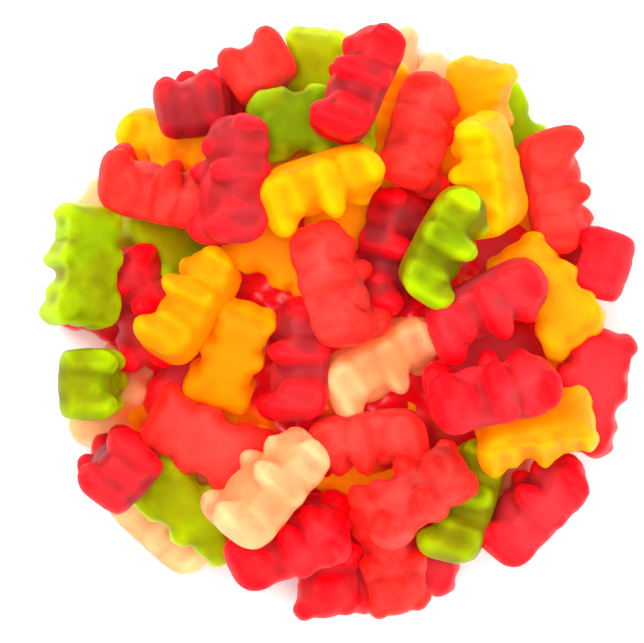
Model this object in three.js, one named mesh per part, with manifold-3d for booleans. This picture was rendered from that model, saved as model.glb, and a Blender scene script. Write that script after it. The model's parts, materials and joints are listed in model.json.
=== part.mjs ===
// A loose heap of gummy bears on a flat surface, about five bears across and three deep. Millimetres, +Z
// up, the origin at the middle of its foot. Every bear is cast in the same mould: a flat back, and a front
// with two ears, a snout, a belly, two paws and two feet. The bears are put down where they belong and then
// settle: they sink, press each other apart and tilt until they lie on one another. A domed core stands for
// the buried sweets.
import * as THREE from "three";
import { mergeVertices } from "three/addons/utils/BufferGeometryUtils.js";
import Module from "manifold-3d";

// One sweet.
const BEAR_LENGTH = 22;
const BEAR_WIDTH = 12.8;
const BEAR_DEPTH = 11.2;
const MASS_CENTRE_DEPTH = 5.1; // above the flat back, where the bear's own origin lies
const SIZE_SPREAD = 0.04; // sweets of one batch differ by this share

// The mound the bears settle on, and the core that fills the gaps between them: caps of large balls.
const MOUND_RADIUS = 38;
const MOUND_HEIGHT = 3;
const CORE_RADIUS = 47;
const CORE_HEIGHT = 25;
const CORE_SIDES = 20;
const CORE_RINGS = 4;

// The heap before it settles: a dome, the bears laid last lying highest.
const DOME_RADIUS = 50;
const DOME_RISE = 9;
const FIRST_HEIGHT = 4.5;
const LAYERS_RISE = 18;

// How it settles.
const PASSES = 300;
const SINK = 0.1; // down in one pass
const LOW_HOLD = 0.05; // the share of the way back to its place that a buried bear moves in one pass
const TOP_HOLD = 0.4; // the same for a bear in sight
const TURN_HOLD = 0.8; // the share of the way back to how it was turned
const GYRATION = 5; // how far from the middle of a bear its mass lies
const NEAR = 24; // bears further apart than this can't touch
const NESTLE = 0.7; // soft sweets press into each other by this much
const HEAP_RADIUS = 53.5; // the heap has been rounded to this radius

// Sections across a bear from its soles to the tips of its ears, as shares of its half length, half width
// and depth: y, half width, height of the flank, x and height of the limb or cheek, height on the middle
// line, and how far the middle line lies behind the section, which parts the ears and the soles.
const SECTIONS = [
  { y: -0.99, half: 0.7, flank: 0.28, limbX: 0.58, limb: 0.76, mid: 0.36, set: 0.08 },
  { y: -0.74, half: 0.98, flank: 0.42, limbX: 0.68, limb: 0.98, mid: 0.54, set: 0 },
  { y: -0.36, half: 0.84, flank: 0.4, limbX: 0.48, limb: 0.7, mid: 0.8, set: 0 },
  { y: 0.1, half: 0.98, flank: 0.44, limbX: 0.7, limb: 0.94, mid: 0.7, set: 0 },
  { y: 0.32, half: 0.76, flank: 0.38, limbX: 0.4, limb: 0.62, mid: 0.74, set: 0 },
  { y: 0.5, half: 0.82, flank: 0.42, limbX: 0.34, limb: 0.8, mid: 0.96, set: 0 },
  { y: 0.76, half: 0.9, flank: 0.4, limbX: 0.62, limb: 0.64, mid: 0.62, set: 0 },
  { y: 0.99, half: 0.78, flank: 0.26, limbX: 0.6, limb: 0.42, mid: 0.34, set: -0.13 },
];

// Balls that stand for a bear's form while it settles, in millimetres from its flat back: trunk, then
// paired ones.
const TRUNK_BALLS = [
  { x: 0, y: 6.4, z: 5.1, r: 4.7 },
  { x: 0, y: 1, z: 4.8, r: 4.8 },
  { x: 0, y: -3.4, z: 5, r: 4.9 },
  { x: 0, y: -7, z: 4.3, r: 4.2 },
  { x: 0, y: 5.5, z: 8.7, r: 2 },
];
const PAIRED_BALLS = [
  { x: 3.7, y: 9, z: 3.7, r: 1.9 },
  { x: 4.2, y: 1.2, z: 8.6, r: 2.1 },
  { x: 4, y: 0.8, z: 3.3, r: 2.6 },
  { x: 4, y: -8.3, z: 8.6, r: 2.3 },
  { x: 3.8, y: -8.2, z: 3.3, r: 2.7 },
  { x: 2.8, y: 6, z: 3.5, r: 2.9 },
  { x: 3.2, y: -4, z: 3.5, r: 3 },
];

// The bears from the bottom of the heap to its top, half buried ones and then those in plain sight: where
// the middle of each lies, the way its head points in degrees from +X, its roll (0 belly up, 90 belly to
// the right of its heading, -90 to the left, 180 back up), and where it is propped up or nose down, its
// pitch.
const LOW_BEARS = [
  { x: -32.5, y: -34.5, heading: -42, roll: -90 },
  { x: -38.5, y: 0, heading: -25, roll: 180 },
  { x: -38.5, y: 17, heading: -44, roll: 180 },
  { x: -30.5, y: 12.5, heading: -45, roll: 150 },
  { x: -33, y: -8, heading: 80, roll: 180 },
  { x: -34.5, y: -13.5, heading: 75, roll: 170 },
  { x: -11.5, y: -17.5, heading: 5, roll: 180 },
  { x: 1, y: -30.5, heading: 160, roll: 180 },
  { x: 8.5, y: -14.5, heading: 75, roll: 180 },
  { x: 30.5, y: -26.5, heading: 70, roll: 150 },
  { x: 41, y: -8.5, heading: 110, roll: 150 },
  { x: 13.5, y: 5, heading: 100, roll: 180 },
  { x: 18, y: 22.5, heading: 30, roll: 150 },
  { x: 27.5, y: 33, heading: -60, roll: 170 },
  { x: 8, y: 33, heading: 80, roll: 120 },
  { x: 12.5, y: 42.5, heading: 60, roll: 180 },
  { x: -0.5, y: 49, heading: 10, roll: 180 },
  { x: 1, y: 18.5, heading: -50, roll: 170 },
  { x: -15, y: 4, heading: 60, roll: 160 },
  { x: -16.5, y: 10.5, heading: 10, roll: 180 },
  { x: -11, y: 10, heading: -35, roll: 180 },
  { x: 25, y: 8, heading: 60, roll: 180 },
  { x: 4, y: -40, heading: 95, roll: 180 },
  { x: -17, y: -33, heading: 50, roll: 180 },
  { x: -27.5, y: -25, heading: -40, roll: 180 },
  { x: 25, y: -3.5, heading: 10, roll: 180 },
  { x: 15, y: -37.5, heading: 80, roll: 170 },
];
const TOP_BEARS = [
  { x: 44, y: -11.5, heading: 74, roll: 165 },
  { x: -6.5, y: 43, heading: 88, roll: 180 },
  { x: 8.5, y: 12.5, heading: 78, roll: 60 },
  { x: -32, y: 21.5, heading: -14, roll: -90 },
  { x: -31.5, y: 34.5, heading: 160, roll: -105 },
  { x: -23, y: 41.5, heading: 2, roll: -90, pitch: -42 },
  { x: -11.5, y: 43.5, heading: 120, roll: 0, pitch: -92 },
  { x: -35, y: 3.5, heading: 105, roll: -30 },
  { x: -5.5, y: 34.5, heading: -8, roll: 180 },
  { x: -43.5, y: -11, heading: 0, roll: 0, pitch: -84 },
  { x: -39, y: -25.5, heading: 135, roll: 0, pitch: -80 },
  { x: 37.5, y: 5, heading: 130, roll: 180 },
  { x: 46.5, y: 10.5, heading: 160, roll: 0, pitch: -62 },
  { x: 24, y: 35.5, heading: 80, roll: 160 },
  { x: 25.5, y: 25.5, heading: 98, roll: -120 },
  { x: 39.5, y: 24, heading: -88, roll: -90 },
  { x: -26, y: -33, heading: -47, roll: 180 },
  { x: -19, y: -7.5, heading: 73, roll: 180, pitch: 25 },
  { x: -23.5, y: -20, heading: 148, roll: 180 },
  { x: 10, y: -42.5, heading: -80, roll: 0 },
  { x: -9, y: -38.5, heading: 15, roll: -60 },
  { x: -2, y: -42, heading: -85, roll: 0 },
  { x: 12.5, y: -29.5, heading: 35, roll: -30 },
  { x: 23.5, y: -32.5, heading: 78, roll: -90 },
  { x: 33, y: -33.5, heading: 48, roll: -75 },
  { x: 34, y: -18.5, heading: 8, roll: 150 },
  { x: 26.5, y: -12.5, heading: 12, roll: -80 },
  { x: 5, y: -22, heading: 180, roll: -90 },
  { x: -8, y: -6.5, heading: 88, roll: -80 },
  { x: -18.5, y: 24.5, heading: 86, roll: -60 },
  { x: 3, y: 41, heading: 66, roll: -85 },
  { x: 25, y: 2.5, heading: 24, roll: 95 },
  { x: -45.5, y: 10, heading: 92, roll: -145 },
  { x: -26, y: 2.5, heading: 60, roll: -105 },
  { x: -12.5, y: -28.5, heading: 49, roll: -70 },
  { x: 14.5, y: 33, heading: 74, roll: 70 },
  { x: -4, y: 24, heading: 24, roll: 100 },
  { x: -0.5, y: 6.5, heading: 108, roll: 70 },
  { x: 18.5, y: 12.5, heading: 60, roll: 90 },
  { x: 7, y: -7, heading: 32, roll: 105 },
];

const RADIANS = Math.PI / 180;

// Balls of the bear's own frame, whose origin is its mass centre.
function formBalls() {
  const paired = PAIRED_BALLS.flatMap((ball) => [ball, { ...ball, x: -ball.x }]);
  return [...TRUNK_BALLS, ...paired].map(({ x, y, z, r }) => ({ x, y, z: z - MASS_CENTRE_DEPTH, r }));
}

// The turn of a bear: its roll about its length, then its pitch about its breadth, then its heading.
function turnOf({ heading, roll, pitch = 0 }) {
  const aim = new THREE.Quaternion().setFromAxisAngle(new THREE.Vector3(0, 0, 1), (heading - 90) * RADIANS);
  const rise = new THREE.Quaternion().setFromAxisAngle(new THREE.Vector3(1, 0, 0), pitch * RADIANS);
  const lean = new THREE.Quaternion().setFromAxisAngle(new THREE.Vector3(0, 1, 0), roll * RADIANS);
  return aim.multiply(rise).multiply(lean);
}

// How high a bear starts.
function startHeight({ x, y }, share) {
  const outward = (x * x + y * y) / DOME_RADIUS ** 2;
  return FIRST_HEIGHT + DOME_RISE * Math.max(0, 1 - outward) + LAYERS_RISE * share;
}

// Every bear as it is put down.
function unsettledBears() {
  const rows = [...LOW_BEARS, ...TOP_BEARS];
  const form = formBalls();
  return rows.map((row, index) => {
    const home = new THREE.Vector3(row.x, row.y, startHeight(row, index / (rows.length - 1)));
    const size = 1 + SIZE_SPREAD * Math.sin(2.4 * index);
    return {
      size,
      home,
      place: home.clone(),
      hold: index < LOW_BEARS.length ? LOW_HOLD : TOP_HOLD,
      wanted: turnOf(row),
      turn: turnOf(row),
      balls: form.map(({ x, y, z, r }) => ({
        own: new THREE.Vector3(x, y, z).multiplyScalar(size),
        centre: new THREE.Vector3(),
        radius: r * size,
      })),
    };
  });
}

// Brings a bear's balls to where it is now.
function carryBalls(bear) {
  for (const ball of bear.balls) ball.centre.copy(ball.own).applyQuaternion(bear.turn).add(bear.place);
}

// Lets a bear sink, and draws it part of the way back to where and how it was put down.
function draw(bear, fade) {
  const share = TURN_HOLD * fade;
  const side = bear.turn.dot(bear.wanted) < 0 ? -1 : 1;
  const mix = (key) => bear.turn[key] + (side * bear.wanted[key] - bear.turn[key]) * share;
  bear.turn.set(mix("x"), mix("y"), mix("z"), mix("w")).normalize();
  bear.place.x += (bear.home.x - bear.place.x) * bear.hold * fade;
  bear.place.y += (bear.home.y - bear.place.y) * bear.hold * fade;
  bear.place.z -= SINK * fade;
  carryBalls(bear);
}

// Where two bears press on each other, with the way from the second to the first.
function contactsBetween(one, other) {
  const found = [];
  for (const a of one.balls) {
    for (const b of other.balls) {
      const reach = a.radius + b.radius - NESTLE;
      const apart = a.centre.distanceTo(b.centre);
      if (apart >= reach) continue;
      const way = a.centre.clone().sub(b.centre).divideScalar(apart);
      const at = b.centre.clone().addScaledVector(way, b.radius - NESTLE / 2);
      found.push({ at, way, depth: reach - apart });
    }
  }
  return found;
}

// Where a bear presses on the floor, on the round edge of the heap, or on the mound.
function contactsAround(bear, mound) {
  const found = [];
  for (const { centre, radius } of bear.balls) {
    const out = Math.hypot(centre.x, centre.y);
    const apart = centre.distanceTo(mound.centre);
    const offMound = centre.clone().sub(mound.centre).divideScalar(apart);
    const pressing = [
      { way: new THREE.Vector3(0, 0, 1), depth: radius - centre.z },
      { way: new THREE.Vector3(-centre.x / out, -centre.y / out, 0), depth: out + radius - HEAP_RADIUS },
      { way: offMound, depth: mound.radius + radius - NESTLE - apart },
    ];
    for (const { way, depth } of pressing) {
      if (depth > 0) found.push({ at: centre.clone().addScaledVector(way, -radius), way, depth });
    }
  }
  return found;
}

// Pushes bears out of their contacts, each contact by its share of the depth: the first bear along the way
// and the second, if there is one, against it. A push off the middle of a bear turns it as well.
function pushApart(contacts, bears) {
  const whole = contacts.reduce((sum, { depth }) => sum + depth, 0);
  const spins = contacts.map(({ at, way }) =>
    bears.map((bear) => at.clone().sub(bear.place).cross(way).divideScalar(GYRATION)),
  );
  const pushes = contacts.map(({ depth }, index) => {
    const giving = spins[index].reduce((sum, spin) => sum + 1 + spin.lengthSq(), 0);
    return ((depth / whole) * depth) / giving;
  });
  bears.forEach((bear, k) => {
    const side = k === 0 ? 1 : -1;
    const turning = new THREE.Vector3();
    contacts.forEach(({ way }, index) => {
      bear.place.addScaledVector(way, side * pushes[index]);
      turning.addScaledVector(spins[index][k], (side * pushes[index]) / GYRATION / 2);
    });
    bear.turn.premultiply(new THREE.Quaternion(turning.x, turning.y, turning.z, 1)).normalize();
    carryBalls(bear);
  });
}

// The ball whose cap over the floor has that radius at its foot and that height.
function capBall(foot, height) {
  const radius = (foot ** 2 + height ** 2) / (2 * height);
  return { centre: new THREE.Vector3(0, 0, height - radius), radius };
}

// The bears at rest.
function settledBears() {
  const bears = unsettledBears();
  const mound = capBall(MOUND_RADIUS, MOUND_HEIGHT);
  for (let pass = 0; pass < PASSES; pass += 1) {
    const fade = Math.min(1, 2 * (1 - pass / PASSES));
    for (const bear of bears) draw(bear, fade);
    bears.forEach((bear, index) => {
      for (const other of bears.slice(index + 1)) {
        if (bear.place.distanceTo(other.place) > NEAR) continue;
        const contacts = contactsBetween(bear, other);
        if (contacts.length > 0) pushApart(contacts, [bear, other]);
      }
      const contacts = contactsAround(bear, mound);
      if (contacts.length > 0) pushApart(contacts, [bear]);
    });
  }
  return bears;
}

// A bear as one closed loft through its sections, its origin at its mass centre.
function bearGeometry() {
  const rings = SECTIONS.map((section) => {
    const half = (section.half * BEAR_WIDTH) / 2;
    const limb = (section.limbX * BEAR_WIDTH) / 2;
    const at = (x, rise, y = section.y) => [x, (y * BEAR_LENGTH) / 2, rise * BEAR_DEPTH - MASS_CENTRE_DEPTH];
    return [
      at(-half, 0),
      at(half, 0),
      at(half, section.flank),
      at(limb, section.limb),
      at(0, section.mid, section.y + section.set),
      at(-limb, section.limb),
      at(-half, section.flank),
    ];
  });
  const sides = rings[0].length;
  const last = (rings.length - 1) * sides;
  const index = [];
  for (let start = 0; start < last; start += sides) {
    for (let side = 0; side < sides; side += 1) {
      const a = start + side;
      const b = start + ((side + 1) % sides);
      index.push(a, b + sides, b, a, a + sides, b + sides);
    }
  }
  for (let side = 1; side < sides - 1; side += 1) {
    index.push(0, side, side + 1);
    index.push(last, last + side + 1, last + side);
  }
  const geometry = new THREE.BufferGeometry();
  geometry.setAttribute("position", new THREE.Float32BufferAttribute(rings.flat(2), 3));
  geometry.setIndex(index);
  return geometry;
}

// The core, turned from the profile of its cap.
function coreGeometry() {
  const { centre, radius } = capBall(CORE_RADIUS, CORE_HEIGHT);
  const edge = Math.asin(CORE_RADIUS / radius);
  const profile = Array.from({ length: CORE_RINGS }, (_, k) => {
    const angle = edge * (1 - k / CORE_RINGS);
    return new THREE.Vector2(radius * Math.sin(angle), centre.z + radius * Math.cos(angle));
  });
  const outline = [new THREE.Vector2(0, 0), ...profile, new THREE.Vector2(0, CORE_HEIGHT)];
  return new THREE.LatheGeometry(outline, CORE_SIDES).rotateX(Math.PI / 2);
}

const wasm = await Module();
wasm.setup();

// A closed geometry as a solid that can be joined and cut.
function solidOf(geometry) {
  const bare = geometry.clone();
  bare.deleteAttribute("normal");
  bare.deleteAttribute("uv");
  const merged = mergeVertices(bare, 1e-4);
  return new wasm.Manifold(
    new wasm.Mesh({
      numProp: 3,
      vertProperties: merged.attributes.position.array,
      triVerts: new Uint32Array(merged.index.array),
    }),
  );
}

// A solid as a geometry.
function geometryOf(solid) {
  const mesh = solid.getMesh();
  const points = new Float32Array(mesh.numVert * 3);
  for (let vertex = 0; vertex < mesh.numVert; vertex += 1) {
    points.set(mesh.position(vertex), vertex * 3);
  }
  const geometry = new THREE.BufferGeometry();
  geometry.setAttribute("position", new THREE.BufferAttribute(points, 3));
  geometry.setIndex(new THREE.BufferAttribute(mesh.triVerts, 1));
  geometry.computeVertexNormals();
  return geometry;
}

// The space below the floor, which flattens the sweets that stand on it.
function belowFloor() {
  const side = 4 * HEAP_RADIUS;
  const deep = BEAR_LENGTH;
  return solidOf(new THREE.BoxGeometry(side, side, deep).translate(0, 0, -deep / 2));
}

// The core with every bear fused on, its sealed hollows filled and loose scraps dropped.
function heapSolid() {
  const mould = bearGeometry();
  let heap = solidOf(coreGeometry());
  for (const bear of settledBears()) {
    const sweet = mould.clone().scale(bear.size, bear.size, bear.size).applyQuaternion(bear.turn);
    heap = heap.add(solidOf(sweet.translate(...bear.place)));
  }
  const pieces = heap.subtract(belowFloor()).decompose();
  return pieces.reduce((most, piece) => (piece.volume() > most.volume() ? piece : most));
}

const heap = new THREE.Mesh(
  geometryOf(heapSolid()),
  new THREE.MeshStandardMaterial({ color: 0xee2b24, roughness: 0.3, metalness: 0 }),
);
heap.name = "gummy_bears";

const part = new THREE.Group();
part.add(heap);

export default part;
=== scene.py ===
"""A loose heap of gummy bears on a pale floor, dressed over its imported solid.

The bears are cast from a few moulds, laid down in the order of the heap and settled by the same rule
as the solid, so each lies where its plain stand-in lies. Lengths are in millimetres, and in metres only
where a mesh is made.
"""

import json
import logging
import math
from dataclasses import dataclass, field
from enum import Enum
from typing import Any, Optional, Sequence, Union

import bmesh
import bpy
import numpy as np
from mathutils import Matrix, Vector
from mathutils.bvhtree import BVHTree

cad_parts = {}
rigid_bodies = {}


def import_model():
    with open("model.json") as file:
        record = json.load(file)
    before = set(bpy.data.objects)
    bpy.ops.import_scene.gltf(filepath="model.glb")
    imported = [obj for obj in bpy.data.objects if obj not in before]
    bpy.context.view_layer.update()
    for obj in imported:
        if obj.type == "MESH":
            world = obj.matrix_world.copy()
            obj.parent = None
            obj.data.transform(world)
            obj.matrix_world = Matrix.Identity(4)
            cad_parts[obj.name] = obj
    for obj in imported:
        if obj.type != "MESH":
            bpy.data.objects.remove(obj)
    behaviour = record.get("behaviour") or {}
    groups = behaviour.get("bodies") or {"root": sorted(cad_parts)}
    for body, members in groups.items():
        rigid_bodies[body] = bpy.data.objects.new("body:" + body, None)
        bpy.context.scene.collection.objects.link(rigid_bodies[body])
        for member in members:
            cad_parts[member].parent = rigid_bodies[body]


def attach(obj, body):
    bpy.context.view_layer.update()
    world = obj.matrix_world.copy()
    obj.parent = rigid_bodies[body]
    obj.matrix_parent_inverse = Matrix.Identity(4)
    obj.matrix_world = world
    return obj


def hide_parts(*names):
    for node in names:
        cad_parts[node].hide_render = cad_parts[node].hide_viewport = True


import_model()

logging.basicConfig(level=logging.INFO, format="%(message)s")
LOG = logging.getLogger("heap")

MM = 0.001
BODY = "root"
NODE = "gummy_bears"
Colour = tuple[float, float, float]
Point = tuple[float, float, float]
Span = tuple[float, float]


class Flavour(Enum):
    """The flavours of the sweets, by the name of the finish."""

    RED = "red"
    CRIMSON = "crimson"
    CORAL = "coral"
    ORANGE = "orange"
    YELLOW = "yellow"
    GREEN = "green"
    PEACH = "peach"


# --------------------------------------------------------------------
# Shader expressions
# --------------------------------------------------------------------


class Wire:
    """A value socket of a material, used like a number in an expression."""

    def __init__(self, paint: "Paint", socket: bpy.types.NodeSocket) -> None:
        """Keeps the socket and the material it belongs to."""
        self.paint = paint
        self.socket = socket

    def _with(self, operation: str, first: "Value", second: "Value") -> "Wire":
        """Adds a Math node.

        Args:
            operation: The Math node's operation.
            first: Its first value.
            second: Its second value.

        Returns:
            The node's result.
        """
        return self.paint.node("ShaderNodeMath", {"operation": operation}, {0: first, 1: second})

    def __add__(self, other: "Value") -> "Wire":
        """Returns this value and another one added up."""
        return self._with("ADD", self, other)

    def __radd__(self, other: "Value") -> "Wire":
        """Returns another value and this one added up."""
        return self._with("ADD", other, self)

    def __sub__(self, other: "Value") -> "Wire":
        """Returns this value less another one."""
        return self._with("SUBTRACT", self, other)

    def __rsub__(self, other: "Value") -> "Wire":
        """Returns another value less this one."""
        return self._with("SUBTRACT", other, self)

    def __mul__(self, other: "Value") -> "Wire":
        """Returns this value times another one."""
        return self._with("MULTIPLY", self, other)

    def __rmul__(self, other: "Value") -> "Wire":
        """Returns another value times this one."""
        return self._with("MULTIPLY", other, self)


Value = Union[Wire, float, int, Sequence[float]]


class Paint:
    """A material under construction."""

    def __init__(self, name: str) -> None:
        """Makes an empty node material.

        Args:
            name: The material's name.
        """
        self.material = bpy.data.materials.new(name)
        self.material.use_nodes = True
        self.tree = self.material.node_tree
        self.tree.nodes.clear()

    def node(
        self,
        kind: str,
        settings: Optional[dict[str, Any]] = None,
        values: Optional[dict[Union[str, int], Value]] = None,
        output: Union[str, int] = 0,
    ) -> Wire:
        """Adds a node.

        Args:
            kind: The node's type.
            settings: The node's own properties, set before its sockets.
            values: Numbers, colours or wires for its input sockets, by name or number.
            output: The output socket that is returned.

        Returns:
            The chosen output.
        """
        node = self.tree.nodes.new(kind)
        for key, setting in (settings or {}).items():
            setattr(node, key, setting)
        for key, value in (values or {}).items():
            self.feed(node.inputs[key], value)
        return Wire(self, node.outputs[output])

    def feed(self, socket: bpy.types.NodeSocket, value: Value) -> None:
        """Gives an input socket its value.

        Args:
            socket: The socket.
            value: A wire that is linked to it, or the number or colour it is set to.
        """
        if isinstance(value, Wire):
            self.tree.links.new(value.socket, socket)
        else:
            socket.default_value = value

    def attribute(self, name: str, output: str = "Fac") -> Wire:
        """Returns the mesh attribute of that name, as a number or as a colour."""
        return self.node("ShaderNodeAttribute", {"attribute_name": name}, output=output)

    def noise(self, scale: float, detail: float, where: Wire) -> Wire:
        """Returns a noise from 0 to 1.

        Args:
            scale: Waves to the metre.
            detail: How many finer waves are added.
            where: The place it is read at.

        Returns:
            The noise.
        """
        sockets = {"Vector": where, "Scale": scale, "Detail": detail}
        return self.node("ShaderNodeTexNoise", {"noise_dimensions": "3D"}, sockets, "Fac")

    def mix(self, share: Value, first: Union[Wire, Colour], second: Union[Wire, Colour]) -> Wire:
        """Mixes two colours.

        Args:
            share: How much of the second, from 0 to 1.
            first: The first colour.
            second: The second colour.

        Returns:
            The mixed colour.
        """
        node = self.tree.nodes.new("ShaderNodeMix")
        node.data_type = "RGBA"
        inputs = {socket.name: socket for socket in node.inputs if socket.enabled}
        self.feed(inputs["Factor"], share)
        for key, colour in (("A", first), ("B", second)):
            self.feed(inputs[key], colour if isinstance(colour, Wire) else (*colour, 1.0))
        return Wire(self, next(socket for socket in node.outputs if socket.enabled))

    def finish(self, shader: Wire) -> bpy.types.Material:
        """Ends the material.

        Args:
            shader: The shader that it ends in.

        Returns:
            The material.
        """
        out = self.tree.nodes.new("ShaderNodeOutputMaterial")
        self.tree.links.new(shader.socket, out.inputs["Surface"])
        return self.material


@dataclass(frozen=True)
class Jelly:
    """The finish of one flavour: a glossy, cloudy jelly that light runs through.

    Where it is thin it is paler and where it is thick it is deeper. Its creases are painted deepest, as
    painted shade, its convex edges paler, as painted rim light, what lies behind it is painted into it as a
    painted see-through colour, and it gives off a painted glow. It reads the attributes depth, limbs, the
    painted crease shade, the painted rim light, shade, clear and behind of the bears' meshes.
    """

    flavour: Flavour
    thin: Colour
    thick: Colour
    # the deepest colour: of thick limbs and deep bears, and of the painted shade in creases
    deep_and_crease_shade: Colour
    reach: Colour  # how far red, green and blue light run, in mm
    shine: Colour  # the colour of its highlights
    clearness: float = 0.8
    rim_light_strength: float = 0.65  # how much paler its convex edges are painted, as painted rim light
    # painted glow: the body's colour given off as light, which brightens it where it is in shade
    glow: float = 0.15
    clouds: float = 1.3  # how uneven the jelly is inside
    cloud_waves: float = 210.0  # to the metre
    even_shade: float = 0.3  # the shade at which a bear is neither lighter nor deeper than its flavour
    shade_swing: float = 1.4
    shade_tint: float = 0.4
    limb_tint: float = 0.45
    skin_waves: float = 900.0  # to the metre
    skin_height: float = 0.12
    skin_strength: float = 0.25
    smoothest: float = 0.42  # the skin's roughness where it is smoothest
    roughness_swing: float = 0.2

    @property
    def slot(self) -> str:
        """The record's material slot."""
        return f"gummy_{self.flavour.value}"

    def build(self) -> bpy.types.Material:
        """Mixes the flavour's material.

        Returns:
            The material.
        """
        paint = Paint(self.slot)
        where = paint.node("ShaderNodeTexCoord", output="Object")
        cloud = paint.noise(self.cloud_waves, 2.0, where)
        skin = paint.noise(self.skin_waves, 3.0, where)
        depth = paint.attribute("depth")
        limbs = paint.attribute("limbs")
        deep_and_crease_shade = paint.attribute("deep_and_crease_shade")
        shade = paint.attribute("shade")
        cloudy = depth + self.clouds * (cloud - 0.5)
        body = paint.mix(cloudy + self.shade_swing * (shade - self.even_shade), self.thin, self.thick)
        body = paint.mix(self.limb_tint * limbs, body, self.deep_and_crease_shade)
        # painted shade: deeper in the creases
        body = paint.mix(deep_and_crease_shade, body, self.deep_and_crease_shade)
        body = paint.mix(self.shade_tint * shade, body, self.deep_and_crease_shade)
        # painted see-through: the colour of what lies behind, with its painted shade, the more the clearer
        # the jelly
        body = paint.mix(paint.attribute("clear"), body, paint.attribute("behind", "Color"))
        # painted rim light: convex edges paler, towards the thin colour
        body = paint.mix(self.rim_light_strength * paint.attribute("rim_light"), body, self.thin)
        pores = {"Strength": self.skin_strength, "Distance": self.skin_height * MM, "Height": skin}
        bump = paint.node("ShaderNodeBump", {}, pores)
        shader = paint.node(
            "ShaderNodeBsdfPrincipled",
            {"subsurface_method": "RANDOM_WALK"},
            {
                "Base Color": body,
                "Roughness": self.smoothest + self.roughness_swing * skin,
                "IOR": 1.45,
                "Normal": bump,
                "Subsurface Weight": 1.0,
                "Subsurface Radius": self.reach,
                "Subsurface Scale": MM,
                "Specular IOR Level": 0.5,
                "Specular Tint": (*self.shine, 1.0),
                # painted glow: the body's colour given off as light
                "Emission Color": body,
                "Emission Strength": self.glow,
            },
        )
        return paint.finish(shader)


JELLIES = [
    Jelly(
        Flavour.RED,
        thin=(0.98, 0.0, 0.008),
        thick=(0.52, 0.038, 0.054),
        deep_and_crease_shade=(0.3, 0.0, 0.003),
        reach=(3.0, 0.5, 0.5),
        shine=(1.0, 0.25, 0.25),
    ),
    Jelly(
        Flavour.CRIMSON,
        thin=(0.85, 0.0, 0.008),
        thick=(0.27, 0.026, 0.034),
        deep_and_crease_shade=(0.14, 0.0, 0.002),
        reach=(2.5, 0.4, 0.4),
        shine=(1.0, 0.3, 0.3),
    ),
    Jelly(
        Flavour.CORAL,
        thin=(1.0, 0.018, 0.01),
        thick=(0.76, 0.078, 0.06),
        deep_and_crease_shade=(0.46, 0.002, 0.006),
        reach=(3.0, 0.8, 0.7),
        shine=(1.0, 0.3, 0.28),
    ),
    Jelly(
        Flavour.ORANGE,
        thin=(1.0, 0.46, 0.0),
        thick=(0.98, 0.31, 0.0),
        deep_and_crease_shade=(0.82, 0.14, 0.0),
        reach=(3.0, 1.3, 0.4),
        shine=(1.0, 0.75, 0.1),
        clearness=0.45,
        rim_light_strength=0.3,
    ),
    Jelly(
        Flavour.YELLOW,
        thin=(1.0, 0.46, 0.0),
        thick=(1.0, 0.29, 0.0),
        deep_and_crease_shade=(0.88, 0.19, 0.0),
        reach=(3.0, 2.2, 0.3),
        shine=(1.0, 0.8, 0.05),
        clearness=0.3,
        rim_light_strength=0.3,
    ),
    Jelly(
        Flavour.GREEN,
        thin=(0.44, 0.71, 0.0),
        thick=(0.16, 0.22, 0.0),
        deep_and_crease_shade=(0.1, 0.14, 0.0),
        reach=(2.0, 2.4, 0.3),
        shine=(0.8, 0.9, 0.05),
        rim_light_strength=0.4,
    ),
    Jelly(
        Flavour.PEACH,
        thin=(1.0, 0.54, 0.26),
        thick=(0.92, 0.34, 0.12),
        deep_and_crease_shade=(0.82, 0.24, 0.07),
        reach=(3.5, 2.4, 1.6),
        shine=(1.0, 0.85, 0.65),
        rim_light_strength=0.3,
    ),
]


# --------------------------------------------------------------------
# The moulds
# --------------------------------------------------------------------


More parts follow.
